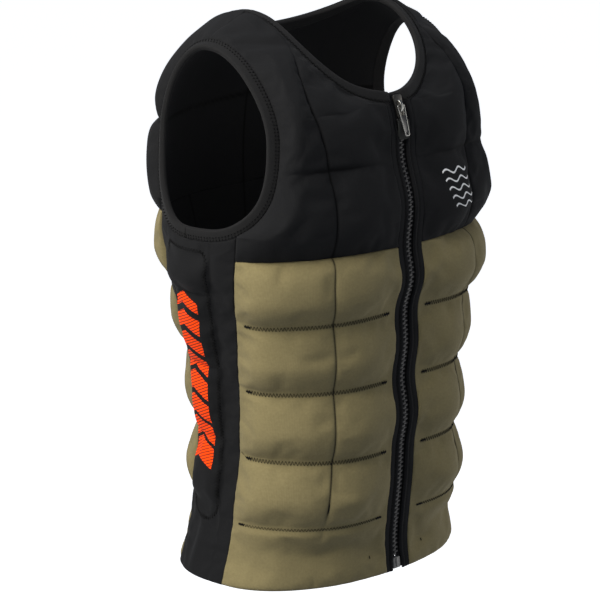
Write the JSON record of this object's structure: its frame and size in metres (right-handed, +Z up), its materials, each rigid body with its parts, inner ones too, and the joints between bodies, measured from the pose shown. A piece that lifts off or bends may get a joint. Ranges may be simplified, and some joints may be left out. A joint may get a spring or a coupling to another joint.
{
  "type": "wakeboard impact vest",
  "caption": "Sleeveless padded vest of quilted foam panels round a hollow torso, with open neck and armholes, bound edges and a full front zip, worn to soften falls on water.",
  "frame": {"origin": "midway between the wearer's shoulders, at the height where the vest hangs on them", "axes": "+Z up, -Y out of the front zip, +X to the wearer's left"},
  "size_m": [0.3768, 0.2619, 0.5822],
  "materials": {
    "olive_neoprene": "matt knitted jersey over foam",
    "black_neoprene": "matt knitted jersey over foam",
    "binding": "matt folded edge tape",
    "zip_chain": "moulded teeth on woven tape",
    "slider_metal": "dark lacquered metal",
    "pull_metal": "plated metal with bright edges",
    "zip_plastic": "moulded"
  },
  "bodies": {
    "vest": {"front_body_right": "olive_neoprene", "front_body_left": "olive_neoprene", "front_chest_right": "black_neoprene", "front_chest_left": "black_neoprene", "side_panel_right": "black_neoprene", "side_panel_left": "black_neoprene", "armhole_binding_right": "binding", "armhole_binding_left": "binding", "zip_facing_right": "black_neoprene", "zip_facing_left": "black_neoprene", "back_body": "olive_neoprene", "back_yoke": "black_neoprene", "neck_binding": "binding", "zip_tape_right": "zip_chain", "zip_tape_left": "zip_chain", "zip_garage": "binding", "zip_slider": "slider_metal", "zip_box": "zip_plastic"},
    "pull": {"zip_pull": "pull_metal"}
  },
  "joints": [
    {"name": "pull_hinge", "type": "hinge", "parent": "vest", "child": "pull", "pos_m": [0, -0.10791, -0.0732], "axis": [-1, 0, 0], "range_deg": [0, 165]}
  ]
}
